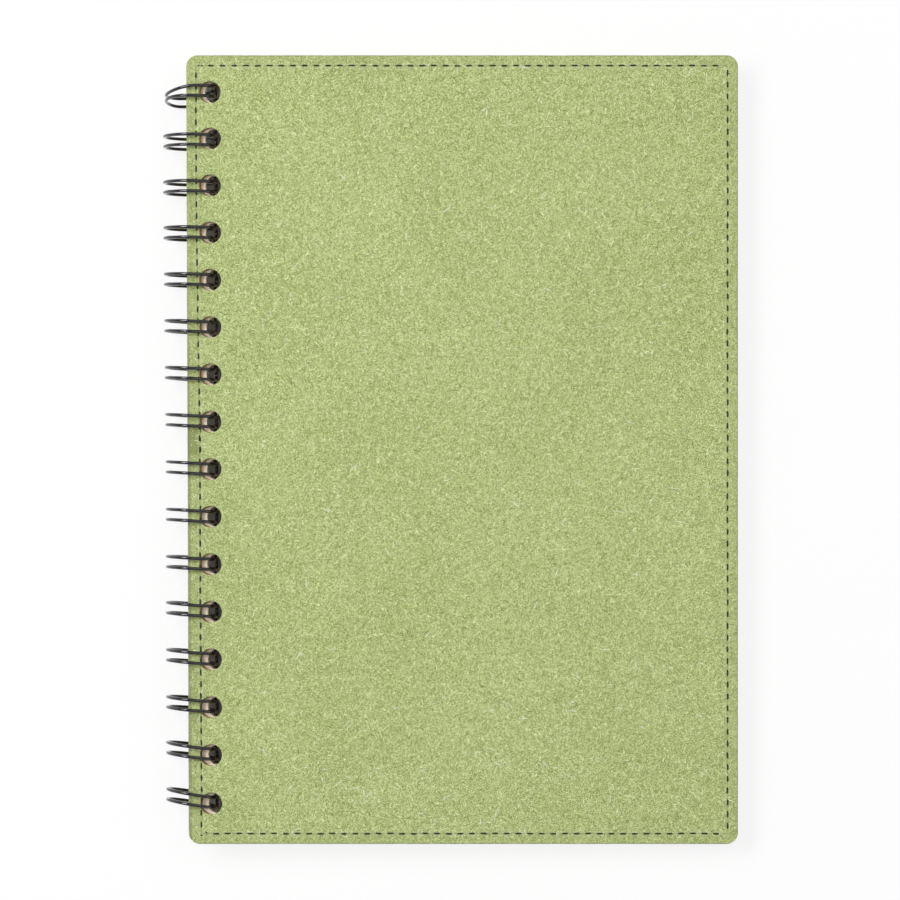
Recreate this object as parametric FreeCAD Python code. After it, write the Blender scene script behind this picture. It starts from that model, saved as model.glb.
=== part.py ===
import FreeCAD, Part
import math
import os

from FreeCAD import Vector

# A5 notebook bound with a twin-loop wire, lying closed with its front cover up.
# X runs from the spine to the fore-edge, Y from the tail to the head and Z up, all in millimetres.
# The origin is at the middle of the notebook, on the surface that the loops stand on.

# Covers
cover_width = 147.4
cover_height = 211.2
cover_corner_radius = 3.0
skin_thickness = 0.8
board_thickness = 1.0

# Pages
page_width = 142.0
page_height = 206.0
page_corner_radius = 3.0
sheet_count = 50
sheet_thickness = 0.1

# Punched holes
hole_count = 16
hole_pitch = 12.7
hole_diameter = 5.8
hole_sides = 16
hole_row_above_middle = 0.45
cover_hole_margin = 6.2
page_hole_margin = 5.0

# Twin-loop wire
wire_diameter = 0.9
wire_sides = 6
loop_radius = 6.7
loop_chords = 12
strand_spacing = 2.75
bend_cut = 0.7
seam_clearance = 0.1
cover_hole_from_loop_centre = 5.3

# Sewn seam round each cover
seam_inset = 2.8
seam_inset_at_head_of_spine = 2.6
seam_inset_at_tail_of_spine = 3.4
stitch_pitch = 3.15
stitch_length = 1.6
stitch_width = 0.5
stitch_height = 0.25

# The wire's flats face outwards, so a loop reaches this far from its centre
wire_flat = wire_diameter / 2 * math.cos(math.pi / wire_sides)
loop_reach = loop_radius + wire_flat

# The closing seam of the wire lies between the last page and the back cover
seam_gap = wire_diameter + 2 * seam_clearance
page_thickness = sheet_count * sheet_thickness
cover_thickness = skin_thickness + board_thickness
stack_height = page_thickness + seam_gap + 2 * cover_thickness

# Heights of the layers, with the stack at the middle of the loops
loop_z = loop_reach
back_skin_z = loop_z - stack_height / 2
back_board_z = back_skin_z + skin_thickness
seam_z = back_board_z + board_thickness + seam_gap / 2
page_z = back_board_z + board_thickness + seam_gap
front_board_z = page_z + page_thickness
front_skin_z = front_board_z + board_thickness
front_face_z = front_skin_z + skin_thickness

# Places along X, from the centre line of the loops
spine_from_loop_centre = cover_hole_from_loop_centre - cover_hole_margin
loop_x = -(spine_from_loop_centre + cover_width - loop_reach) / 2
cover_left = loop_x + spine_from_loop_centre
cover_hole_x = cover_left + cover_hole_margin
page_hole_x = loop_x + loop_radius
page_left = page_hole_x - page_hole_margin


def loop_y(index):
    """Y of a loop's middle, counted from the head."""
    return hole_row_above_middle + (hole_count - 1) * hole_pitch / 2 - index * hole_pitch


def rounded_sheet(left, width, height, thickness, radius, bottom_z):
    """A flat sheet with rounded corners, its spine edge at left."""
    sheet = Part.makeBox(width, height, thickness, Vector(left, -height / 2, bottom_z))
    upright = [edge for edge in sheet.Edges if abs(edge.tangentAt(edge.FirstParameter).z) > 0.99]
    return sheet.makeFillet(radius, upright)


def hole_pin(x, y, bottom_z, height):
    """A pin with the section of a hole: narrow flats that touch the round hole's circle from outside."""
    step = 2 * math.pi / hole_sides
    reach = hole_diameter / 2 / math.cos(step / 2)
    corners = []
    for side in range(hole_sides + 1):
        angle = (side + 0.5) * step
        corners.append(Vector(x + reach * math.cos(angle), y + reach * math.sin(angle), bottom_z))
    return Part.Face(Part.makePolygon(corners)).extrude(Vector(0, 0, height))


def punched(sheet, hole_x):
    """The sheet with the row of holes along its spine."""
    box = sheet.BoundBox
    pins = [hole_pin(hole_x, loop_y(index), box.ZMin - 1, box.ZLength + 2) for index in range(hole_count)]
    return sheet.cut(Part.makeCompound(pins))


def cover_layer(thickness, bottom_z):
    """One layer of a cover, cut to the cover's outline and punched."""
    sheet = rounded_sheet(cover_left, cover_width, cover_height, thickness, cover_corner_radius, bottom_z)
    return punched(sheet, cover_hole_x)


def page_block():
    """All the pages as one block, punched nearer to their edge than the covers."""
    block = rounded_sheet(page_left, page_width, page_height, page_thickness, page_corner_radius, page_z)
    return punched(block, page_hole_x)


def loop_point(angle, y):
    """A point of a loop's centre line, which has a flat chord at the top, bottom and sides."""
    step = 2 * math.pi / loop_chords
    middle = round(angle / step) * step
    radius = loop_radius / math.cos(angle - middle)
    return Vector(loop_x + radius * math.cos(angle), y, loop_z + radius * math.sin(angle))


def strand(link_angle, tip_angle, y):
    """A strand's points from the link below the pages, round the spine and over the front, to its tip."""
    step = 2 * math.pi / loop_chords
    corners = []
    angle = (math.floor(link_angle / step - 0.5) + 0.5) * step
    while angle > tip_angle - 2 * math.pi:
        if angle < link_angle:
            corners.append(loop_point(angle, y))
        angle -= step
    return [loop_point(link_angle, y)] + corners + [loop_point(tip_angle, y)]


def wire_route():
    """The wire's whole centre line: a hairpin through each hole, and a link to the next hairpin."""
    link_angle = math.asin((seam_z - loop_z) / loop_radius)
    cut_angle = bend_cut / loop_radius
    tip_angle = link_angle + (wire_diameter + seam_clearance) / loop_radius
    half = strand_spacing / 2
    route = []
    for index in range(hole_count):
        middle = loop_y(index)
        first = index == 0
        last = index == hole_count - 1
        if not first:
            route.append(loop_point(link_angle, middle + half + bend_cut))
        route += strand(link_angle - cut_angle, tip_angle + cut_angle, middle + half)
        route.append(loop_point(tip_angle, middle + half - bend_cut))
        route.append(loop_point(tip_angle, middle - half + bend_cut))
        route += reversed(strand(link_angle - cut_angle, tip_angle + cut_angle, middle - half))
        if not last:
            route.append(loop_point(link_angle, middle - half - bend_cut))
    return route


def section_on_plane(section, direction, point, normal):
    """The section's corners carried along direction to the plane through point."""
    moved = []
    for corner in section:
        travel = (point - corner).dot(normal) / direction.dot(normal)
        moved.append(corner + direction * travel)
    return moved


def bent_wire(route):
    """A solid wire along the route, with flat sides and a mitre at each turn."""
    count = len(route)
    directions = []
    for start, end in zip(route, route[1:]):
        directions.append((end - start).normalize())
    across = Vector(0, 1, 0)
    outward = directions[0].cross(across)
    section = []
    for side in range(wire_sides):
        angle = (side + 0.5) * 2 * math.pi / wire_sides
        reach = outward * math.cos(angle) + across * math.sin(angle)
        section.append(route[0] + reach * (wire_diameter / 2))
    faces = [Part.Face(Part.makePolygon(section + section[:1]))]
    for index in range(1, count):
        before = directions[index - 1]
        after = directions[min(index, count - 2)]
        normal = (before + after).normalize()
        following = section_on_plane(section, before, route[index], normal)
        for side in range(wire_sides):
            beside = (side + 1) % wire_sides
            ring = [section[side], section[beside], following[beside], following[side], section[side]]
            faces.append(Part.Face(Part.makePolygon(ring)))
        section = following
    faces.append(Part.Face(Part.makePolygon(section + section[:1])))
    shell = Part.makeShell(faces)
    shell.sewShape()
    solid = Part.makeSolid(Part.Shell(shell.Faces))
    if solid.Volume < 0:
        solid.reverse()
    return solid


def stitch(middle, along, up):
    """One stitch: a ridge that lies on the cover's face."""
    across = up.cross(along)
    foot_a = middle - along * (stitch_length / 2) - across * (stitch_width / 2)
    foot_b = foot_a + across * stitch_width
    crest = foot_a + across * (stitch_width / 2) + up * stitch_height
    end = Part.Face(Part.makePolygon([foot_a, foot_b, crest, foot_a]))
    return end.extrude(along * stitch_length)


def stitching(face_z, up):
    """The seam round a cover, a row of stitches along each side."""
    head = cover_height / 2 - seam_inset
    fore = cover_left + cover_width - seam_inset
    spine_head = Vector(cover_left + seam_inset_at_head_of_spine, head, face_z)
    spine_tail = Vector(cover_left + seam_inset_at_tail_of_spine, -head, face_z)
    corners = [spine_head, Vector(fore, head, face_z), Vector(fore, -head, face_z), spine_tail]
    stitches = []
    for start, end in zip(corners, corners[1:] + corners[:1]):
        run = end - start
        count = round(run.Length / stitch_pitch)
        along = Vector(run).normalize()
        for index in range(count):
            middle = start + run * ((index + 0.5) / count)
            stitches.append(stitch(middle, along, up))
    return Part.makeCompound(stitches)


nodes = {
    "front_cover_skin": cover_layer(skin_thickness, front_skin_z),
    "front_cover_board": cover_layer(board_thickness, front_board_z),
    "front_cover_stitching": stitching(front_face_z, Vector(0, 0, 1)),
    "page_block": page_block(),
    "twin_loop_wire": bent_wire(wire_route()),
    "back_cover_board": cover_layer(board_thickness, back_board_z),
    "back_cover_skin": cover_layer(skin_thickness, back_skin_z),
    "back_cover_stitching": stitching(back_skin_z, Vector(0, 0, -1)),
}

os.makedirs("parts", exist_ok=True)
for name, shape in nodes.items():
    shape.exportStep("parts/" + name + ".step")
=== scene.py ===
import math
import random

import bpy
from mathutils import Matrix, Vector, noise


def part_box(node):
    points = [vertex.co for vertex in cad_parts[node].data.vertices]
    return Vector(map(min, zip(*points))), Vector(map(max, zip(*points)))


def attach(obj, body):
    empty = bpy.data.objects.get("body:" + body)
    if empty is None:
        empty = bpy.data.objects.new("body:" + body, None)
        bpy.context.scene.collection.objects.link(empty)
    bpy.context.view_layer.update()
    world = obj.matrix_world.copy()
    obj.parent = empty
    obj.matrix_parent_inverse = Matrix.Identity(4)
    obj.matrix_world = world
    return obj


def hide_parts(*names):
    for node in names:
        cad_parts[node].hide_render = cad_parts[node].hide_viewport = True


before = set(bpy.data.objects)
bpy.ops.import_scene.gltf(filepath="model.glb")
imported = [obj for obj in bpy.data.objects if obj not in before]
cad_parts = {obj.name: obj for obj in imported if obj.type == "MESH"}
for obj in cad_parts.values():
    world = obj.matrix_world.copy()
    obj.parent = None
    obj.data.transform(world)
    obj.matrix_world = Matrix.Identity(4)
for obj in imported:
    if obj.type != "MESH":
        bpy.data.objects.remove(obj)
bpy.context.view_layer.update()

# All lengths are in metres. X runs from the spine to the fore-edge, Y from the tail to the head, Z up.
MM = 0.001

# Places that the frame gives
SKIN_LOW, SKIN_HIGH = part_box("front_cover_skin")
BACK_LOW, BACK_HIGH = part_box("back_cover_skin")
BOARD_LOW, BOARD_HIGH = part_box("front_cover_board")
BACK_BOARD_LOW, BACK_BOARD_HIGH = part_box("back_cover_board")
PAGE_LOW, PAGE_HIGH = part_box("page_block")
WIRE_LOW, WIRE_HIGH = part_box("twin_loop_wire")
LOOP_Z = (WIRE_LOW[2] + WIRE_HIGH[2]) / 2

# Punched holes, loops and the closing seam of the wire
HOLE_COUNT = 16
HOLE_PITCH = 12.7 * MM
HOLE_RADIUS = 2.9 * MM
HOLE_ROW_Y = 0.45 * MM
COVER_HOLE_X = SKIN_LOW[0] + 6.2 * MM
PAGE_HOLE_X = PAGE_LOW[0] + 5.0 * MM
LOOP_X = COVER_HOLE_X - 5.3 * MM
LOOP_RADIUS = 6.7 * MM
WIRE_RADIUS = 0.45 * MM
STRAND_SPACING = 2.75 * MM
BEND_RADIUS = 1.0 * MM
SEAM_Z = (PAGE_LOW[2] + BACK_BOARD_HIGH[2]) / 2
SEAM_CLEARANCE = 0.1 * MM

# Steps and sides of the wire's round forms
LOOP_STEPS = 44
TIP_STEPS = 12
BEND_STEPS = 5
WIRE_SIDES = 12

# How far a hairpin's tip reaches past its strands, as a share of half their spacing
TIP_SHARE = 0.9

# Forms of the sheets. A rim is a rounding radius, and a wobble is how unevenly an edge is cut.
CORNER_RADIUS = 3.0 * MM
CORNER_STEPS = 8
OUTLINE_STEP = 2 * MM
FELT_RIM = 0.20 * MM
FELT_WOBBLE = 0.08 * MM
BOARD_RIM = 0.05 * MM
BOARD_WOBBLE = 0.05 * MM
BOARD_INSET = 0.12 * MM
COVER_HOLE_POINTS = 40
PAGE_HOLE_POINTS = 24

# Pages. A sheet is shifted by up to so much, and leaves this share of its step free below and above it.
SHEET_COUNT = 50
SHEET_SHIFT_X = 0.05 * MM
SHEET_SHIFT_Y = 0.06 * MM
SHEET_GAP_SHARE = 0.04

# How the uneven edges read the noise: its scale along an outline and from hole to hole, and each hole's ring
OUTLINE_NOISE_SCALE = 260
HOLE_NOISE_SCALE = 900
HOLE_NOISE_RING = 1.5

# Sewn seam. The ends say how far from the corners of its line a side's stitches start and stop.
STITCH_PITCH = 3.15 * MM
STITCH_LENGTH = 1.65 * MM
THREAD_RADIUS = 0.24 * MM
SEAM_INSET = 2.8 * MM
SPINE_INSET = 2.28 * MM
SPINE_WANDER = ((85 * MM, -20 * MM, 1.15 * MM), (-20 * MM, -100 * MM, 0.33 * MM))
HEAD_ENDS = (4.0 * MM, 3.2 * MM)
FORE_ENDS = (1.95 * MM, 2.05 * MM)
TAIL_ENDS = (3.05 * MM, 3.9 * MM)
SPINE_ENDS = (2.4 * MM, 2.6 * MM)

# Form of one stitch: its steps and sides, how deep and how tightly its two plies are twisted, how far its ends
# sink, in thread radii, and by what share they get thinner
STITCH_STEPS = 8
STITCH_SIDES = 10
PLY_DEPTH = 0.10
PLY_TWIST = 2 * math.pi / (1.3 * MM)
STITCH_SINK = 0.9
STITCH_TAPER = 0.35

# How high the middle of a stitch's centre line lies over the outer and the inner face, in thread radii
OUTER_RISE = 0.25
INNER_RISE = -0.35

# How the stitches differ: their place across the seam in millimetres, their turn and their share of the length
STITCH_DRIFT = (-0.06, 0.06)
STITCH_TURN = (-0.035, 0.035)
STITCH_STRETCH = (0.94, 1.05)

# Small stitches at the seam's spine corners: the place from the corner along X and Y, the heading, and the
# length, the radius and the rise, all in millimetres
HEAD_TACKS = (((0.7, 0.0), (1, 0), 0.50, 0.16, 0.02), ((1.6, 0.0), (1, 0), 0.50, 0.17, 0.02))
TAIL_TACKS = (((0.0, -0.45), (1, 0), 0.42, 0.20, 0.02), ((1.3, 0.3), (0.8, -0.6), 0.60, 0.20, 0.03))

# The join, where the seam ends over its start: where its margin is darkest, and the first Y, the number, the
# spacing, the distance beside the seam and the form of its small stitches
SEAM_JOIN_Y = 2.0 * MM
JOIN_START_Y = 5.2 * MM
JOIN_COUNT = 3
JOIN_SPACING = 0.8 * STITCH_PITCH
JOIN_OFFSET = 0.25 * MM
JOIN_TACK = ((0.12, -1), 1.5, 0.13, 0.06)

# Camera, at the photograph's scale at the cover's face
CAMERA_DISTANCE = 1.15
CAMERA_X = -0.3 * MM
CAMERA_Y = -10 * MM
VIEW_Y = -0.1 * MM
PIXELS_PER_METRE = 3735
PICTURE_PIXELS = 900
SENSOR_MM = 36.0
CLIP_NEAR = 0.05
CLIP_FAR = 20

# The notebook rests on its loops and on the back cover's fore-edge, so the floor slopes by this much
FLOOR_SLOPE = BACK_LOW[2] / (BACK_HIGH[0] - LOOP_X)
FLOOR_GAP = 0.05 * MM
FLOOR_REACH = 3.0

# The open floor's share of pure white. It is reached this far inside the covers' edges, where it hides under
# them, and it fades over this width further in. Beneath the notebook the white is left out, which paints the
# floor there darker, as shade that shows through the holes.
FLOOR_WHITE = 0.83
WHITE_INSET_X = 8 * MM
WHITE_INSET_Y = 4 * MM
WHITE_FADE = 3 * MM

# The white surround has its full strength up to the horizon, and this share of it from this height of a
# direction upwards
SKY_TOP_STRENGTH = 0.2
SKY_TOP_HEIGHT = 0.7

# Lamps: name, place, width, height and watts
LAMPS = (
    ("key_low", (-0.74, 0.36, 1.00), 1.10, 0.09, 6.1),
    ("key_high", (-0.55, 0.28, 1.10), 0.80, 0.11, 5.0),
    ("overhead", (0.45, 0.20, 1.32), 1.60, 1.60, 6.25),
)

# The covers' spine edge and the row of holes lean a little, towards the spine at the head.
# The pages' row leans more, away from the spine at the tail.
EDGE_LEAN = 0.35 * MM / SKIN_HIGH[1]
ROW_LEAN = 0.20 * MM / SKIN_HIGH[1]
PAGE_LEAN = 0.35 * MM / SKIN_HIGH[1]

# How far the middle of the row lies towards the head from its place in the frame
ROW_CREEP = 0.65 * MM

# The covers' boards are punched a little further from the spine than their skins
BOARD_HOLE_SHIFT = 0.42 * MM

# Loose fibres on the felt: how many of a kind lie on a cover, and their lengths in millimetres
FIBRE_COUNT = 12000
WHITE_FIBRE_COUNT = 260
SHORT_FIBRES = (0.3, 0.5, 0.6, 0.8, 1.0, 1.5)
LONG_FIBRES = (0.8, 1.4, 2.2, 3.0)

# How the fibres differ: their share of the length, their turn a millimetre, and their half width and lift in
# millimetres
FIBRE_STRETCH = (0.8, 1.3)
FIBRE_BEND = (-0.45, 0.45)
FIBRE_HALF_WIDTH = (0.06, 0.13)
FIBRE_LIFT = (0.01, 0.06)

# Steps along a fibre, how far it stays inside the cover's edge, and how far its ends lie off the felt
FIBRE_STEPS = 4
FIBRE_EDGE_MARGIN = 0.3 * MM
FIBRE_CLEARANCE = 0.004 * MM

# Display colours: red, green and blue out of 255
FELT_DARK = (137, 152, 79)
FELT_LIGHT = (216, 228, 162)
FELT_DEEP_LINES = (118, 130, 70)
FELT_PALE_LINES = (220, 228, 178)
FELT_MARGIN = (140, 150, 88)
FELT_AT_JOIN = (128, 136, 74)
# Painted highlight: the pale lines beside the seam
FELT_SEAM_HIGHLIGHT = (206, 214, 166)
FELT_AT_RIM = (128, 132, 108)
# Painted shade: the colour of the seam's groove, darker than the felt
FELT_GROOVE_SHADE = (168, 178, 118)
PALE_FIBRE_LOW = (198, 209, 150)
PALE_FIBRE_HIGH = (230, 237, 192)
DARK_FIBRE_LOW = (122, 134, 74)
DARK_FIBRE_HIGH = (156, 168, 104)
WHITE_FIBRE_LOW = (206, 212, 182)
WHITE_FIBRE_HIGH = (228, 231, 210)
BOARD_DARK = (156, 114, 76)
BOARD_LIGHT = (178, 134, 92)
BOARD_SPECKS = (92, 70, 50)
PAPER_LOW = (250, 237, 208)
PAPER_HIGH = (255, 244, 222)
PAPER_LINES = (214, 200, 172)
PAPER_EDGE_DARK = (212, 198, 170)
PAPER_EDGE_LIGHT = (240, 230, 208)
WIRE_DARK = (7, 7, 10)
WIRE_LIGHT = (18, 17, 25)
THREAD_DARK = (34, 37, 18)
THREAD_LIGHT = (60, 64, 32)

# Linear colours of the floor
FLOOR_DARK = (0.90, 0.90, 0.90, 1)
FLOOR_LIGHT = (0.93, 0.93, 0.93, 1)

rng = random.Random(7)


def loop_y(index):
    """Y of a loop's middle, counted from the head. The row creeps towards the head along its middle."""
    creep = ROW_CREEP * math.sqrt(max(0.0, math.sin(math.pi * index / (HOLE_COUNT - 1))))
    return HOLE_ROW_Y + ((HOLE_COUNT - 1) / 2 - index) * HOLE_PITCH + creep


def row_lean(y):
    """How far along X the row of holes and loops lies from its place in the frame."""
    return -ROW_LEAN * y


def board_hole_lean(y):
    """How far along X the boards' row of holes lies from its place in the frame."""
    return BOARD_HOLE_SHIFT + row_lean(y)


def page_hole_lean(y):
    """How far along X the pages' row of holes lies from its place in the frame."""
    return PAGE_LEAN * (SKIN_HIGH[1] - y) + row_lean(y)


def smooth(value, low, high):
    """A smooth step from 0 at low to 1 at high."""
    share = min(max((value - low) / (high - low), 0.0), 1.0)
    return share * share * (3 - 2 * share)


def spine_seam_x(y):
    """X of the seam beside the spine, which wanders away from the spine towards the tail."""
    return SKIN_LOW[0] + SPINE_INSET + sum(reach * smooth(y, low, high) for low, high, reach in SPINE_WANDER)


def new_object(name, mesh, material, body):
    """An object of the mesh with one material, riding on a body."""
    piece = bpy.data.objects.new(name, mesh)
    bpy.context.scene.collection.objects.link(piece)
    piece.data.materials.append(material)
    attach(piece, body)
    return piece


def srgb(colour):
    """A linear colour from an eight-bit display colour."""
    linear = []
    for channel in colour:
        value = channel / 255
        linear.append(value / 12.92 if value <= 0.04045 else ((value + 0.055) / 1.055) ** 2.4)
    return (*linear, 1.0)


# Materials

class Nodes:
    """A material's node tree with short ways to add and join nodes."""

    def __init__(self, name):
        self.material = bpy.data.materials.new(name)
        self.material.use_nodes = True
        self.tree = self.material.node_tree
        self.shader = self.tree.nodes["Principled BSDF"]
        self.coordinates = self.tree.nodes.new("ShaderNodeTexCoord").outputs["Object"]

    def add(self, kind, **settings):
        """A new node of a kind, with its settings."""
        node = self.tree.nodes.new(kind)
        for key, value in settings.items():
            setattr(node, key, value)
        return node

    def put(self, source, target):
        """Joins an output to an input, or sets the input to a number or a colour."""
        if isinstance(source, bpy.types.NodeSocket):
            self.tree.links.new(source, target)
        else:
            target.default_value = source

    def noise(self, scale, detail=2.0, roughness=0.5, distortion=0.0, stretch=(1, 1, 1), turn=0.0):
        """Noise with about scale features a metre."""
        mapping = self.add("ShaderNodeMapping")
        mapping.inputs["Scale"].default_value = stretch
        mapping.inputs["Rotation"].default_value = (0, 0, turn)
        mapping.inputs["Location"].default_value = (turn, 0.3 * turn, 0)
        self.put(self.coordinates, mapping.inputs["Vector"])
        node = self.add("ShaderNodeTexNoise")
        node.inputs["Scale"].default_value = scale
        node.inputs["Detail"].default_value = detail
        node.inputs["Roughness"].default_value = roughness
        node.inputs["Distortion"].default_value = distortion
        self.put(mapping.outputs["Vector"], node.inputs["Vector"])
        return node.outputs["Fac"]

    def math(self, operation, first, second=0.0):
        """The result of an operation on one or two values."""
        node = self.add("ShaderNodeMath", operation=operation)
        self.put(first, node.inputs[0])
        self.put(second, node.inputs[1])
        return node.outputs[0]

    def ramp(self, value, low, high, out_low=0.0, out_high=1.0):
        """The value carried smoothly from the range low to high to the range out_low to out_high."""
        node = self.add("ShaderNodeMapRange", interpolation_type="SMOOTHSTEP")
        self.put(value, node.inputs["Value"])
        node.inputs["From Min"].default_value = low
        node.inputs["From Max"].default_value = high
        node.inputs["To Min"].default_value = out_low
        node.inputs["To Max"].default_value = out_high
        return node.outputs["Result"]

    def mix(self, factor, first, second):
        """The first colour at a factor of 0 and the second at 1."""
        node = self.add("ShaderNodeMix", data_type="RGBA")
        colours = {socket.name: socket for socket in node.inputs if socket.type == "RGBA"}
        self.put(factor, node.inputs["Factor"])
        self.put(first, colours["A"])
        self.put(second, colours["B"])
        return next(socket for socket in node.outputs if socket.type == "RGBA")

    def tint(self, base, mask, strength, tone):
        """The base colour with a tone laid over it, at the given strength where the mask is 1."""
        return self.mix(self.math("MULTIPLY", mask, strength), base, tone)

    def axes(self, vector):
        """The outputs X, Y and Z of a vector."""
        node = self.add("ShaderNodeSeparateXYZ")
        self.put(vector, node.inputs[0])
        return node.outputs

    def bump(self, height, distance, strength):
        """Joins a relief of the given height to the shader."""
        node = self.add("ShaderNodeBump")
        node.inputs["Distance"].default_value = distance
        node.inputs["Strength"].default_value = strength
        self.put(height, node.inputs["Height"])
        self.put(node.outputs["Normal"], self.shader.inputs["Normal"])

    def colour(self, source):
        """Sets the shader's colour."""
        self.put(source, self.shader.inputs["Base Color"])

    def finish(self, roughness, specular, **values):
        """Sets the shader's roughness, specular level and other inputs, and gives the material."""
        self.put(roughness, self.shader.inputs["Roughness"])
        self.shader.inputs["Specular IOR Level"].default_value = specular
        for name, value in values.items():
            self.shader.inputs[name.replace("_", " ")].default_value = value
        return self.material


def strand_lines(nodes, scale, width, turn, breaks):
    """Thin wandering lines, broken into short lengths, which read as fibres in the sheet."""
    field = nodes.noise(scale, detail=1.0, roughness=0.4, distortion=1.6, turn=turn)
    distance = nodes.math("ABSOLUTE", nodes.math("SUBTRACT", field, 0.5))
    line = nodes.ramp(distance, 0.0, width, 1.0, 0.0)
    gaps = nodes.ramp(nodes.noise(breaks, detail=0.0, turn=turn + 2.0), 0.47, 0.56)
    return nodes.math("MULTIPLY", line, gaps)


def seam_distance(nodes):
    """How far a point of a cover lies outside the line of its seam, below zero inside it."""
    place = nodes.axes(nodes.coordinates)
    past_left = nodes.math("SUBTRACT", SKIN_LOW[0] + SPINE_INSET, place["X"])
    for low, high, reach in SPINE_WANDER:
        past_left = nodes.math("ADD", past_left, nodes.ramp(place["Y"], low, high, 0.0, reach))
    past_right = nodes.math("SUBTRACT", place["X"], SKIN_HIGH[0] - SEAM_INSET)
    past_ends = nodes.math("SUBTRACT", nodes.math("ABSOLUTE", place["Y"]), SKIN_HIGH[1] - SEAM_INSET)
    return nodes.math("MAXIMUM", nodes.math("MAXIMUM", past_left, past_right), past_ends)


def seam_tones(nodes, body, past, away):
    """The felt's colour round its seam: a darker margin, darkest at the join, pale lines beside it, which are a
    painted highlight, and a greyer rim.
    """
    place = nodes.axes(nodes.coordinates)
    margin = nodes.ramp(past, -0.2 * MM, 0.5 * MM)
    from_join = nodes.math("ABSOLUTE", nodes.math("SUBTRACT", place["Y"], SEAM_JOIN_Y))
    near_join = nodes.ramp(from_join, 2.6 * MM, 4.6 * MM, 1.0, 0.0)
    spine_half = nodes.ramp(place["X"], -10 * MM, 0.0, 1.0, 0.0)
    pulled = nodes.math("MULTIPLY", near_join, spine_half)
    # The pale lines beside the seam are a painted highlight
    beside = nodes.math("MULTIPLY", nodes.ramp(away, 0.15 * MM, 0.35 * MM),
                        nodes.ramp(away, 0.4 * MM, 0.9 * MM, 1.0, 0.0))
    rim = nodes.ramp(past, SEAM_INSET - 0.42 * MM, SEAM_INSET - 0.12 * MM)
    body = nodes.tint(body, margin, 0.10, srgb(FELT_MARGIN))
    body = nodes.tint(body, nodes.math("MULTIPLY", margin, pulled), 0.60, srgb(FELT_AT_JOIN))
    body = nodes.tint(body, beside, 0.28, srgb(FELT_SEAM_HIGHLIGHT))
    return nodes.tint(body, rim, 0.50, srgb(FELT_AT_RIM))


def felt_material(name):
    """A pressed fibre sheet: soft mottling with pale and dark fibres, sunk a little along its seam, with painted
    shade in the seam's groove and a painted highlight beside it.
    """
    nodes = Nodes(name)
    mottle = nodes.ramp(nodes.noise(500, detail=3.0, roughness=0.65), 0.34, 0.66)
    cloud = nodes.ramp(nodes.noise(45, detail=2.0, roughness=0.5), 0.30, 0.70)
    grain = nodes.ramp(nodes.noise(3900, detail=2.0, roughness=0.8), 0.39, 0.61)
    fine = nodes.ramp(nodes.noise(4300, detail=0.0, roughness=0.5), 0.38, 0.62, -0.33, 0.33)
    share = nodes.math("ADD", nodes.math("MULTIPLY", mottle, 0.22), nodes.math("MULTIPLY", grain, 0.68))
    share = nodes.math("ADD", share, nodes.math("ADD", fine, nodes.math("MULTIPLY", cloud, 0.10)))
    pale = strand_lines(nodes, scale=1700, width=0.030, turn=2.1, breaks=2200)
    deep = strand_lines(nodes, scale=1800, width=0.028, turn=5.2, breaks=2300)
    past = seam_distance(nodes)
    away = nodes.math("ABSOLUTE", past)
    groove = nodes.ramp(away, 0.05 * MM, 0.35 * MM)
    body = nodes.mix(share, srgb(FELT_DARK), srgb(FELT_LIGHT))
    body = nodes.tint(body, deep, 0.48, srgb(FELT_DEEP_LINES))
    body = nodes.tint(body, pale, 0.58, srgb(FELT_PALE_LINES))
    body = seam_tones(nodes, body, past, away)
    # Painted shade: the seam's groove is coloured darker than the felt round it
    nodes.colour(nodes.mix(nodes.math("SUBTRACT", 1.0, groove), body, srgb(FELT_GROOVE_SHADE)))
    relief = nodes.math("ADD", nodes.math("MULTIPLY", pale, 0.6), nodes.math("MULTIPLY", grain, 0.8))
    relief = nodes.math("SUBTRACT", relief, nodes.math("MULTIPLY", deep, 0.5))
    nodes.bump(nodes.math("ADD", relief, nodes.math("MULTIPLY", groove, 0.8)), distance=0.12 * MM, strength=0.7)
    return nodes.finish(roughness=0.92, specular=0.2, Sheen_Weight=0.12, Sheen_Roughness=0.6)


def fibre_material(name, first, second):
    """Loose fibres, uneven in tone along their length."""
    nodes = Nodes(name)
    uneven = nodes.ramp(nodes.noise(900, detail=2.0, roughness=0.6), 0.35, 0.65)
    nodes.colour(nodes.mix(uneven, first, second))
    return nodes.finish(roughness=0.9, specular=0.2, Sheen_Weight=0.1)


def board_material(name):
    """Brown pulp board: a cloudy tone with darker specks."""
    nodes = Nodes(name)
    cloud = nodes.ramp(nodes.noise(260, detail=3.0, roughness=0.6), 0.3, 0.7)
    speck = nodes.ramp(nodes.noise(3800, detail=2.0, roughness=0.7), 0.58, 0.70)
    body = nodes.mix(cloud, srgb(BOARD_DARK), srgb(BOARD_LIGHT))
    nodes.colour(nodes.tint(body, speck, 0.5, srgb(BOARD_SPECKS)))
    nodes.bump(nodes.noise(2600, detail=3.0, roughness=0.6), distance=0.05 * MM, strength=0.6)
    return nodes.finish(roughness=0.88, specular=0.25)


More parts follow.
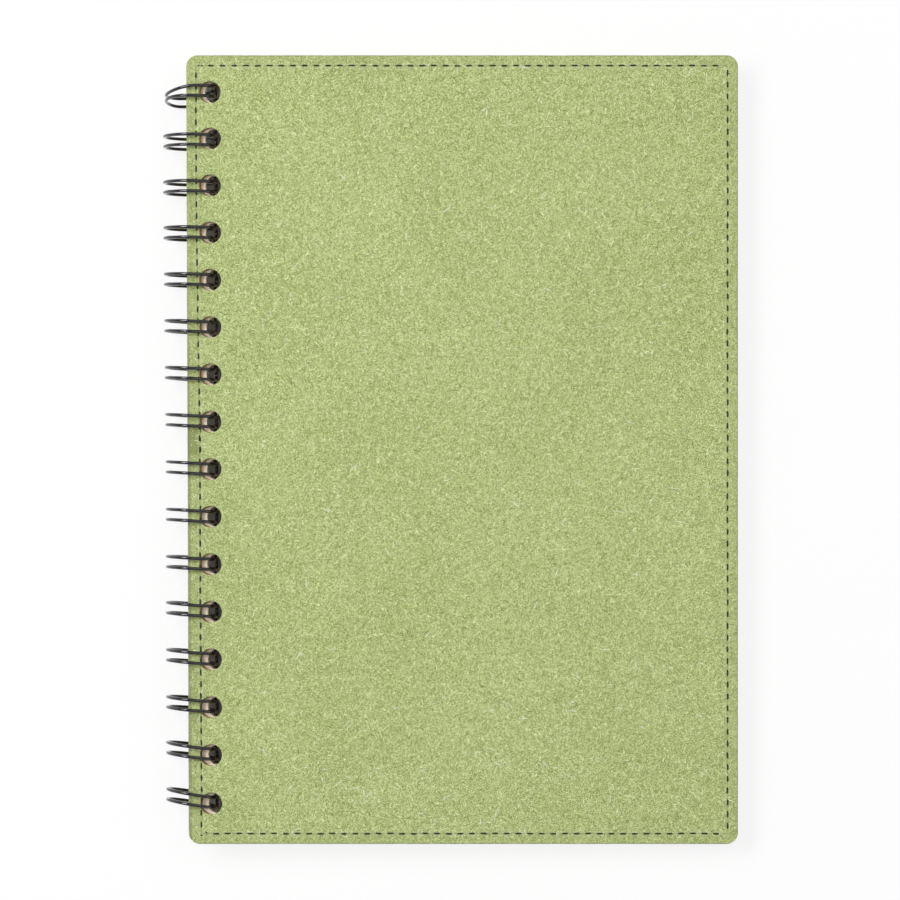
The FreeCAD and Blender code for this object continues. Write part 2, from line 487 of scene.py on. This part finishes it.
def paper_material(name):
    """Uncoated cream paper: a soft cloudy tone with fine fibres, a little darker on the cut edges."""
    nodes = Nodes(name)
    cloud = nodes.ramp(nodes.noise(700, detail=3.0, roughness=0.6), 0.3, 0.7)
    tone = nodes.mix(cloud, srgb(PAPER_LOW), srgb(PAPER_HIGH))
    fibre = strand_lines(nodes, scale=1300, width=0.016, turn=1.2, breaks=1500)
    tone = nodes.tint(tone, fibre, 0.18, srgb(PAPER_LINES))
    normal = nodes.axes(nodes.add("ShaderNodeNewGeometry").outputs["Normal"])["Z"]
    side = nodes.math("SUBTRACT", 1.0, nodes.math("ABSOLUTE", normal))
    uneven = nodes.ramp(nodes.noise(1, detail=3.0, roughness=0.7, stretch=(60, 60, 9000)), 0.35, 0.65)
    edge = nodes.mix(uneven, srgb(PAPER_EDGE_DARK), srgb(PAPER_EDGE_LIGHT))
    nodes.colour(nodes.mix(side, tone, edge))
    nodes.bump(nodes.noise(3000, detail=2.0, roughness=0.6), distance=0.02 * MM, strength=0.5)
    return nodes.finish(roughness=0.85, specular=0.3)


def wire_material(name):
    """Gloss black wire: slight waves and uneven gloss under a clear coat."""
    nodes = Nodes(name)
    cloud = nodes.ramp(nodes.noise(800, detail=2.0, roughness=0.5), 0.4, 0.7)
    nodes.colour(nodes.mix(cloud, srgb(WIRE_DARK), srgb(WIRE_LIGHT)))
    nodes.bump(nodes.noise(900, detail=2.0, roughness=0.5), distance=0.012 * MM, strength=0.3)
    roughness = nodes.ramp(nodes.noise(1500, detail=3.0, roughness=0.6), 0.35, 0.75, 0.18, 0.32)
    return nodes.finish(roughness, specular=0.35, Coat_Weight=1.0, Coat_Roughness=0.05)


def thread_material(name):
    """Dark olive sewing thread with the sheen of twisted plies."""
    nodes = Nodes(name)
    uneven = nodes.ramp(nodes.noise(5200, detail=2.0, roughness=0.6), 0.35, 0.65)
    nodes.colour(nodes.mix(uneven, srgb(THREAD_DARK), srgb(THREAD_LIGHT)))
    nodes.bump(nodes.noise(6000, detail=2.0, roughness=0.6), distance=0.05 * MM, strength=0.6)
    return nodes.finish(roughness=0.7, specular=0.3, Sheen_Weight=0.15)


def floor_material(name):
    """A pale floor with a hardly visible grain, which shows white, with a softened shadow, where it lies open, and
    is left darker beneath the notebook, as painted shade.
    """
    nodes = Nodes(name)
    nodes.colour(nodes.mix(nodes.noise(30, detail=2.0, roughness=0.5), FLOOR_DARK, FLOOR_LIGHT))
    rays = nodes.add("ShaderNodeLightPath").outputs
    seen = nodes.math("MAXIMUM", rays["Is Camera Ray"], rays["Is Glossy Ray"])
    place = nodes.axes(nodes.coordinates)
    inside_x = nodes.math("SUBTRACT", nodes.math("ABSOLUTE", place["X"]), SKIN_HIGH[0] - WHITE_INSET_X)
    inside_y = nodes.math("SUBTRACT", nodes.math("ABSOLUTE", place["Y"]), SKIN_HIGH[1] - WHITE_INSET_Y)
    # Painted shade: the white fades out beneath the notebook, so the floor seen through the holes stays dark
    open_floor = nodes.ramp(nodes.math("MAXIMUM", inside_x, inside_y), -WHITE_FADE, 0.0)
    seen = nodes.math("MULTIPLY", seen, open_floor)
    white = nodes.add("ShaderNodeEmission")
    blend = nodes.add("ShaderNodeMixShader")
    nodes.put(nodes.math("MULTIPLY", seen, FLOOR_WHITE), blend.inputs[0])
    nodes.put(nodes.shader.outputs[0], blend.inputs[1])
    nodes.put(white.outputs[0], blend.inputs[2])
    nodes.put(blend.outputs[0], nodes.tree.nodes["Material Output"].inputs["Surface"])
    return nodes.finish(roughness=0.95, specular=0.0)


# Sheets and the loose fibres on them

def circle_points(x, y, radius, count, wobble):
    """A closed ring of points, uneven by up to wobble."""
    points = []
    for step in range(count):
        angle = 2 * math.pi * step / count
        seed = Vector((x * HOLE_NOISE_SCALE + HOLE_NOISE_RING * math.cos(angle),
                       y * HOLE_NOISE_SCALE + HOLE_NOISE_RING * math.sin(angle), 0.5))
        reach = radius + wobble * noise.noise(seed)
        points.append(Vector((x + reach * math.cos(angle), y + reach * math.sin(angle))))
    return points


def outline_points(low, high, radius, wobble, lean):
    """A rounded rectangle's outline, drawn in by up to wobble, its spine edge turned by lean."""
    centre = Vector(((low[0] + high[0]) / 2, (low[1] + high[1]) / 2))
    corners = [(high[0], high[1], 0), (low[0], high[1], 90), (low[0], low[1], 180), (high[0], low[1], 270)]
    points = []
    for corner_x, corner_y, start in corners:
        middle_x = corner_x - math.copysign(radius, corner_x - centre.x)
        middle_y = corner_y - math.copysign(radius, corner_y - centre.y)
        for step in range(CORNER_STEPS + 1):
            angle = math.radians(start + step * 90 / CORNER_STEPS)
            points.append(Vector((middle_x + radius * math.cos(angle), middle_y + radius * math.sin(angle))))
    outline = []
    for start, end in zip(points, points[1:] + points[:1]):
        pieces = max(1, round((end - start).length / OUTLINE_STEP)) if wobble else 1
        for step in range(pieces):
            point = start.lerp(end, step / pieces)
            seed = Vector((point.x * OUTLINE_NOISE_SCALE, point.y * OUTLINE_NOISE_SCALE, 3.1))
            shift = wobble * abs(noise.noise(seed))
            point -= (point - centre).normalized() * shift
            point.x -= lean * point.y * max(0.0, (centre.x - point.x) / (centre.x - low[0]))
            outline.append(point)
    return outline


def sheet_mesh(name, low, high, hole_x, hole_lean, rim, wobble, lean, hole_points):
    """A punched sheet between two heights, with its rims rounded by rim."""
    curve = bpy.data.curves.new(name + "_outline", "CURVE")
    curve.dimensions = "2D"
    curve.fill_mode = "BOTH"
    curve.extrude = (high[2] - low[2]) / 2 - rim
    curve.bevel_depth = rim
    curve.bevel_resolution = 2
    curve.offset = -rim
    rings = [outline_points(low, high, CORNER_RADIUS, wobble, lean)]
    for index in range(HOLE_COUNT):
        y = loop_y(index)
        rings.append(circle_points(hole_x + hole_lean(y), y, HOLE_RADIUS, hole_points, wobble))
    for ring in rings:
        spline = curve.splines.new("POLY")
        spline.points.add(len(ring) - 1)
        for point, place in zip(spline.points, ring):
            point.co = (place.x, place.y, 0, 1)
        spline.use_cyclic_u = True
    holder = bpy.data.objects.new(name + "_curve", curve)
    mesh = bpy.data.meshes.new_from_object(holder)
    bpy.data.objects.remove(holder)
    mesh.name = name
    mesh.transform(Matrix.Translation((0, 0, (low[2] + high[2]) / 2)))
    return mesh


def felt_skin(name, low, high, body, material):
    """A cover's felt skin, with soft rims round its outline and holes."""
    mesh = sheet_mesh(name, low, high, COVER_HOLE_X, row_lean, FELT_RIM, FELT_WOBBLE, EDGE_LEAN,
                      COVER_HOLE_POINTS)
    piece = new_object(name, mesh, material, body)
    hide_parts(body + "_skin")
    return piece


def pulp_board(name, low, high, body, material):
    """A cover's board, cut a little smaller than its skin."""
    inset = Vector((BOARD_INSET, BOARD_INSET, 0))
    mesh = sheet_mesh(name, Vector(low) + inset, Vector(high) - inset, COVER_HOLE_X, board_hole_lean,
                      BOARD_RIM, BOARD_WOBBLE, EDGE_LEAN, COVER_HOLE_POINTS)
    piece = new_object(name, mesh, material, body)
    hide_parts(body + "_board")
    return piece


def page_sheets(material):
    """The pages as separate sheets, which lie a little unevenly on each other."""
    step = (PAGE_HIGH[2] - PAGE_LOW[2]) / SHEET_COUNT
    low = Vector((PAGE_LOW[0], PAGE_LOW[1], SHEET_GAP_SHARE * step))
    high = Vector((PAGE_HIGH[0], PAGE_HIGH[1], (1 - SHEET_GAP_SHARE) * step))
    one = sheet_mesh("one_sheet", low, high, PAGE_HOLE_X, page_hole_lean, 0.0, 0.0, 0.0, PAGE_HOLE_POINTS)
    corners = [vertex.co.copy() for vertex in one.vertices]
    sides = [tuple(face.vertices) for face in one.polygons]
    bpy.data.meshes.remove(one)
    points = []
    faces = []
    for index in range(SHEET_COUNT):
        shift_x = rng.uniform(-SHEET_SHIFT_X, SHEET_SHIFT_X)
        shift_y = rng.uniform(-SHEET_SHIFT_Y, SHEET_SHIFT_Y)
        shift = Vector((shift_x, shift_y, PAGE_LOW[2] + index * step))
        first = len(points)
        points += [corner + shift for corner in corners]
        faces += [tuple(first + corner for corner in side) for side in sides]
    mesh = bpy.data.meshes.new("page_sheets")
    mesh.from_pydata(points, [], faces)
    piece = new_object("page_sheets", mesh, material, "bound_pages")
    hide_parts("page_block")
    return piece


def over_hole(place, margin):
    """Whether a point lies over one of the covers' holes or within margin of it."""
    index = round((loop_y(0) - place.y) / HOLE_PITCH)
    if index < 0 or index >= HOLE_COUNT:
        return False
    hole_x = COVER_HOLE_X + row_lean(place.y)
    return math.hypot(place.x - hole_x, place.y - loop_y(index)) < HOLE_RADIUS + margin


def loose_fibres(name, low, high, face_z, up, count, lengths, material, body):
    """Loose fibres that lie on the felt: short bent ribbons of random length and heading."""
    points = []
    faces = []
    made = 0
    while made < count:
        place = Vector((rng.uniform(low[0], high[0]), rng.uniform(low[1], high[1]), face_z))
        length = rng.choice(lengths) * rng.uniform(*FIBRE_STRETCH) * MM
        edge = min(place.x - low[0], high[0] - place.x, place.y - low[1], high[1] - place.y)
        if edge < length + FIBRE_EDGE_MARGIN or over_hole(place, length):
            continue
        heading = rng.uniform(0, 2 * math.pi)
        bend = rng.uniform(*FIBRE_BEND) * length / MM
        half_width = rng.uniform(*FIBRE_HALF_WIDTH) * MM
        lift = rng.uniform(*FIBRE_LIFT) * MM
        first = len(points)
        for step in range(FIBRE_STEPS + 1):
            share = step / FIBRE_STEPS
            angle = heading + bend * (share - 0.5)
            along = Vector((math.cos(angle), math.sin(angle), 0))
            across = Vector((-along.y, along.x, 0)) * (half_width * (0.3 + 0.7 * math.sin(math.pi * share)))
            raised = place + Vector((0, 0, up * (lift * math.sin(math.pi * share) + FIBRE_CLEARANCE)))
            points.append(raised - across)
            points.append(raised + across)
            place = place + along * (length / FIBRE_STEPS)
        for step in range(FIBRE_STEPS):
            corner = first + 2 * step
            faces.append((corner, corner + 2, corner + 3, corner + 1))
        made += 1
    mesh = bpy.data.meshes.new(name)
    mesh.from_pydata(points, [], faces)
    return new_object(name, mesh, material, body)


# Tubes, for the wire and the thread

def tube(route, radii, sides, lobe=0.0, twist=0.0):
    """Points and faces of a tube with capped ends. A lobe gives it the twisted form of two plies."""
    count = len(route)
    tangents = []
    for index in range(count):
        before = route[max(index - 1, 0)]
        after = route[min(index + 1, count - 1)]
        tangents.append((after - before).normalized())
    across = tangents[0].orthogonal().normalized()
    points = []
    faces = []
    travel = 0.0
    for index in range(count):
        tangent = tangents[index]
        across = (across - tangent * across.dot(tangent)).normalized()
        other = tangent.cross(across)
        if index:
            travel += (route[index] - route[index - 1]).length
        for side in range(sides):
            angle = 2 * math.pi * side / sides
            reach = radii[index] * (1 + lobe * math.cos(2 * (angle - twist * travel)))
            points.append(route[index] + (across * math.cos(angle) + other * math.sin(angle)) * reach)
    for index in range(count - 1):
        for side in range(sides):
            beside = (side + 1) % sides
            near = index * sides
            far = near + sides
            faces.append((near + side, near + beside, far + beside, far + side))
    faces.append(tuple(reversed(range(sides))))
    faces.append(tuple(range((count - 1) * sides, count * sides)))
    return points, faces


def joined_tubes(name, tubes, material, body):
    """One object of several tubes, shaded smooth."""
    points = []
    faces = []
    for tube_points, tube_faces in tubes:
        first = len(points)
        points += tube_points
        faces += [tuple(first + corner for corner in face) for face in tube_faces]
    mesh = bpy.data.meshes.new(name)
    mesh.from_pydata(points, [], faces)
    mesh.polygons.foreach_set("use_smooth", [True] * len(mesh.polygons))
    mesh.update()
    return new_object(name, mesh, material, body)


# Stitching

def one_stitch(middle, along, up, length, radius, rise):
    """A short length of two-ply thread that comes out of the cover and goes back in."""
    route = []
    radii = []
    for step in range(STITCH_STEPS + 1):
        share = 2 * step / STITCH_STEPS - 1
        ending = share ** 4
        height = rise * (1 - ending) - radius * STITCH_SINK * ending
        route.append(middle + along * (share * length / 2) + up * height)
        radii.append(radius * (1 - STITCH_TAPER * ending))
    return tube(route, radii, STITCH_SIDES, PLY_DEPTH, PLY_TWIST)


def stitch_line(start, end, ends, up, phase, beside_spine=False):
    """Stitches along one side of a seam, from one end's distance to the other's."""
    run = end - start
    along = run.normalized()
    length = run.length - ends[0] - ends[1]
    count = round(length / STITCH_PITCH)
    stitches = []
    for index in range(count + 1 - int(phase > 0)):
        middle = start + along * (ends[0] + (index + phase) * length / count)
        if beside_spine:
            middle.x = spine_seam_x(middle.y)
        across = up.cross(along) * rng.uniform(*STITCH_DRIFT) * MM
        turned = (along + up.cross(along) * rng.uniform(*STITCH_TURN)).normalized()
        length_here = STITCH_LENGTH * rng.uniform(*STITCH_STRETCH)
        rise = THREAD_RADIUS * (OUTER_RISE if phase == 0 else INNER_RISE)
        stitches.append(one_stitch(middle + across, turned, up, length_here, THREAD_RADIUS, rise))
    return stitches


def spine_corner(high, face_z, end):
    """The corner of the seam's line at the spine, at the head for an end of 1 and at the tail for -1."""
    y = end * (high[1] - SEAM_INSET)
    return Vector((spine_seam_x(y), y, face_z))


def seam_stitches(high, face_z, up, phase):
    """Stitches round one face of a cover. A phase of a half gives the inner face, between the outer stitches."""
    head = high[1] - SEAM_INSET
    fore = high[0] - SEAM_INSET
    head_corner = spine_corner(high, face_z, 1)
    tail_corner = spine_corner(high, face_z, -1)
    fore_head = Vector((fore, head, face_z))
    fore_tail = Vector((fore, -head, face_z))
    stitches = stitch_line(head_corner, fore_head, HEAD_ENDS, up, phase)
    stitches += stitch_line(fore_head, fore_tail, FORE_ENDS, up, phase)
    stitches += stitch_line(fore_tail, tail_corner, TAIL_ENDS, up, phase)
    stitches += stitch_line(tail_corner, head_corner, SPINE_ENDS, up, phase, True)
    return stitches


def tack(place, up, heading, length, radius, rise):
    """A small stitch, its length, radius and rise in millimetres."""
    along = Vector((*heading, 0)).normalized()
    return one_stitch(place, along, up, length * MM, radius * MM, rise * MM)


def seam_tacks(high, face_z, up):
    """The small stitches where the seam turns at its spine corners, and where it ends over its start."""
    tacks = []
    for end, table in ((1, HEAD_TACKS), (-1, TAIL_TACKS)):
        corner = spine_corner(high, face_z, end)
        for place, *form in table:
            tacks.append(tack(corner + Vector((*place, 0)) * MM, up, *form))
    for step in range(JOIN_COUNT):
        y = JOIN_START_Y - step * JOIN_SPACING
        place = Vector((spine_seam_x(y) + JOIN_OFFSET, y, face_z))
        tacks.append(tack(place, up, *JOIN_TACK))
    return tacks


def cover_stitching(body, high, outer_z, inner_z, side, material):
    """A cover's whole thread: the stitches of its outer face and those of its inner face."""
    up = Vector((0, 0, side))
    stitches = seam_stitches(high, outer_z, up, 0.0)
    stitches += seam_tacks(high, outer_z, up)
    stitches += seam_stitches(high, inner_z, -up, 0.5)
    piece = joined_tubes(body + "_thread", stitches, material, body)
    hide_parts(body + "_stitching")
    return piece


# Wire

# How far the loops lean, as Y over Z, how far they lie towards the head, and how much further than a circle
# they reach at the spine. The others lean slightly to one side or the other. A lean moves nothing at LEAN_HEIGHT.
LEANS = {1: 0.030, 2: 0.022, 3: 0.008, 15: 0.012}
SHIFTS = {0: 0.40 * MM, 1: -0.35 * MM, 2: -0.20 * MM, 11: 0.12 * MM, 12: 0.12 * MM, 13: 0.15 * MM,
          14: 0.24 * MM, 15: 0.34 * MM}
REACHES = {1: 0.50 * MM, 2: 0.55 * MM, 3: 0.50 * MM, 4: 0.40 * MM, 5: 0.30 * MM, 6: 0.20 * MM, 7: 0.10 * MM}
SLIGHT_LEAN = 0.004
SLIGHT_LEAN_STEP = 2.3
LEAN_HEIGHT = LOOP_Z + 5 * MM

# The turns of the loops towards the head, as Y over X: how much, and from which loop to which it grows
TURNS = ((0.055, 1, 7), (0.03, 10, 11.5), (0.085, 12.5, 15.2))

# The first loop is bent: how far its strand nearer the head (1) and its other one (-1) lie towards the tail, in
# millimetres, by the degrees from the pages' side, downwards and round the spine. The spreads smooth it.
BENT_STRANDS = {
    1: ((20, 0.6), (50, 0.9), (95, 2.4), (130, 2.65), (180, 2.36), (210, 1.75), (230, 1.2), (250, 0.6),
        (272, 0.08), (290, 0.0), (370, 0.0)),
    -1: ((20, 0.6), (50, 0.8), (95, 1.9), (130, 2.05), (180, 1.07), (210, 0.45), (230, 0.12), (250, 0.0),
         (370, 0.0)),
}
SPREADS = (-10, 0, 10)


def turn_of_loop(index):
    """How far a loop is turned, its spine side towards the head, as Y over X."""
    return sum(turn * smooth(index, low, high) for turn, low, high in TURNS)


def bent_by(angle, side):
    """How far a strand of the first loop lies towards the tail at an angle."""
    turned = -math.degrees(angle)
    for (start, low), (end, high) in zip(BENT_STRANDS[side], BENT_STRANDS[side][1:]):
        if turned <= end:
            return (low + (high - low) * max(0.0, turned - start) / (end - start)) * MM
    return 0.0


def loop_point(angle, offset, index):
    """A point of a loop's centre line, offset along Y from the loop's middle."""
    x = LOOP_X + LOOP_RADIUS * math.cos(angle)
    z = LOOP_Z + LOOP_RADIUS * math.sin(angle)
    y = loop_y(index) + SHIFTS.get(index, 0.0)
    if index == 0:
        share = min(max(0.5 + offset / STRAND_SPACING, 0.0), 1.0)
        drop = 0.0
        for spread in SPREADS:
            near = angle + math.radians(spread)
            drop += (share * bent_by(near, 1) + (1 - share) * bent_by(near, -1)) / len(SPREADS)
    else:
        lean = LEANS.get(index, SLIGHT_LEAN * math.sin(SLIGHT_LEAN_STEP * index))
        drop = -lean * (z - LEAN_HEIGHT)
    drop -= turn_of_loop(index) * (COVER_HOLE_X - x)
    x += row_lean(y) - REACHES.get(index, 0.0) * max(0.0, -math.cos(angle)) ** 2
    return Vector((x, y + offset - drop, z))


def wire_route():
    """The wire's centre line: a hairpin through each hole and a link to the next hairpin."""
    link_angle = math.asin((SEAM_Z - LOOP_Z) / LOOP_RADIUS)
    tip_angle = link_angle + (2 * WIRE_RADIUS + SEAM_CLEARANCE) / LOOP_RADIUS
    half = STRAND_SPACING / 2
    tip_radius = half * TIP_SHARE
    link_start = link_angle - BEND_RADIUS / LOOP_RADIUS
    tip_start = tip_angle + tip_radius / LOOP_RADIUS
    sweep = 2 * math.pi - (tip_start - link_start)
    angles = [link_start - sweep * step / LOOP_STEPS for step in range(LOOP_STEPS + 1)]
    route = []
    for index in range(HOLE_COUNT):
        down = [loop_point(angle, half, index) for angle in angles]
        back = [loop_point(angle, -half, index) for angle in reversed(angles)]
        tip = []
        for step in range(1, TIP_STEPS):
            turn = math.pi * step / TIP_STEPS
            angle = tip_start - tip_radius * math.sin(turn) / LOOP_RADIUS
            tip.append(loop_point(angle, half * math.cos(turn), index))
        entry = []
        leave = []
        for step in range(1, BEND_STEPS + 1):
            turn = math.pi / 2 * step / BEND_STEPS
            angle = link_start + BEND_RADIUS * math.sin(turn) / LOOP_RADIUS
            out = half + BEND_RADIUS * (1 - math.cos(turn))
            entry.insert(0, loop_point(angle, out, index))
            leave.append(loop_point(angle, -out, index))
        if index == 0:
            entry = []
        if index == HOLE_COUNT - 1:
            leave = []
        route += entry + down + tip + back + leave
    return route


def twin_loop_wire(material):
    """The whole wire as one round tube."""
    route = wire_route()
    wire = tube(route, [WIRE_RADIUS] * len(route), WIRE_SIDES)
    piece = joined_tubes("bound_wire", [wire], material, "bound_pages")
    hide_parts("twin_loop_wire")
    return piece


# Object

felt = felt_material("felt_green")
pale_fibre = fibre_material("felt_fibre_pale", srgb(PALE_FIBRE_LOW), srgb(PALE_FIBRE_HIGH))
dark_fibre = fibre_material("felt_fibre_dark", srgb(DARK_FIBRE_LOW), srgb(DARK_FIBRE_HIGH))
white_fibre = fibre_material("felt_fibre_white", srgb(WHITE_FIBRE_LOW), srgb(WHITE_FIBRE_HIGH))
fibre_kinds = (
    ("_fibres_pale", FIBRE_COUNT, SHORT_FIBRES, pale_fibre),
    ("_fibres_dark", FIBRE_COUNT, SHORT_FIBRES, dark_fibre),
    ("_fibres_white", WHITE_FIBRE_COUNT, LONG_FIBRES, white_fibre),
)
thread = thread_material("thread_olive")
for cover, low, high, outer_z, inner_z, side in (
    ("front_cover", SKIN_LOW, SKIN_HIGH, SKIN_HIGH[2], BOARD_LOW[2], 1),
    ("back_cover", BACK_LOW, BACK_HIGH, BACK_LOW[2], BACK_BOARD_HIGH[2], -1),
):
    felt_skin(cover + "_felt", low, high, cover, felt)
    for kind, count, lengths, material in fibre_kinds:
        loose_fibres(cover + kind, low, high, outer_z, side, count, lengths, material, cover)
    cover_stitching(cover, high, outer_z, inner_z, side, thread)

twin_loop_wire(wire_material("wire_black"))

page_sheets(paper_material("paper_cream"))
board = board_material("board_brown")
pulp_board("front_cover_pulp", BOARD_LOW, BOARD_HIGH, "front_cover", board)
pulp_board("back_cover_pulp", BACK_BOARD_LOW, BACK_BOARD_HIGH, "back_cover", board)


# Stage

def floor():
    """A wide pale floor that lies just below the loops and the back cover's fore-edge."""
    mesh = bpy.data.meshes.new("floor")
    corners = []
    for side_x, side_y in ((-1, -1), (1, -1), (1, 1), (-1, 1)):
        x = side_x * FLOOR_REACH
        corners.append((x, side_y * FLOOR_REACH, (x - LOOP_X) * FLOOR_SLOPE - FLOOR_GAP))
    mesh.from_pydata(corners, [], [(0, 1, 2, 3)])
    mesh.materials.append(floor_material("floor_pale"))
    piece = bpy.data.objects.new("floor", mesh)
    bpy.context.scene.collection.objects.link(piece)


def softbox(name, place, width, height, energy):
    """An area light at place that faces the notebook, its width level."""
    light = bpy.data.lights.new(name, "AREA")
    light.shape = "ELLIPSE"
    light.size = width
    light.size_y = height
    light.energy = energy
    lamp = bpy.data.objects.new(name, light)
    lamp.location = place
    lamp.rotation_euler = (-Vector(place)).to_track_quat("-Z", "Y").to_euler()
    bpy.context.scene.collection.objects.link(lamp)


def camera():
    """Looks straight down, with the shift that the photograph's framing needs."""
    data = bpy.data.cameras.new("camera")
    data.sensor_width = SENSOR_MM
    data.lens = SENSOR_MM * PIXELS_PER_METRE * CAMERA_DISTANCE / PICTURE_PIXELS
    data.shift_y = (VIEW_Y - CAMERA_Y) * PIXELS_PER_METRE / PICTURE_PIXELS
    data.clip_start = CLIP_NEAR
    data.clip_end = CLIP_FAR
    eye = bpy.data.objects.new("camera", data)
    eye.location = (CAMERA_X, CAMERA_Y, SKIN_HIGH[2] + CAMERA_DISTANCE)
    bpy.context.scene.collection.objects.link(eye)
    bpy.context.scene.camera = eye


def studio():
    """A white surround that fades upwards, and the lamps."""
    world = bpy.data.worlds.new("studio")
    world.use_nodes = True
    tree = world.node_tree
    axes = tree.nodes.new("ShaderNodeSeparateXYZ")
    fade = tree.nodes.new("ShaderNodeMapRange")
    fade.inputs["From Max"].default_value = SKY_TOP_HEIGHT
    fade.inputs["To Min"].default_value = 1.0
    fade.inputs["To Max"].default_value = SKY_TOP_STRENGTH
    tree.links.new(tree.nodes.new("ShaderNodeTexCoord").outputs["Generated"], axes.inputs[0])
    tree.links.new(axes.outputs["Z"], fade.inputs["Value"])
    tree.links.new(fade.outputs["Result"], tree.nodes["Background"].inputs["Strength"])
    tree.nodes["Background"].inputs["Color"].default_value = (1, 1, 1, 1)
    bpy.context.scene.world = world
    bpy.context.scene.view_settings.view_transform = "Standard"
    for lamp in LAMPS:
        softbox(*lamp)


floor()
camera()
studio()
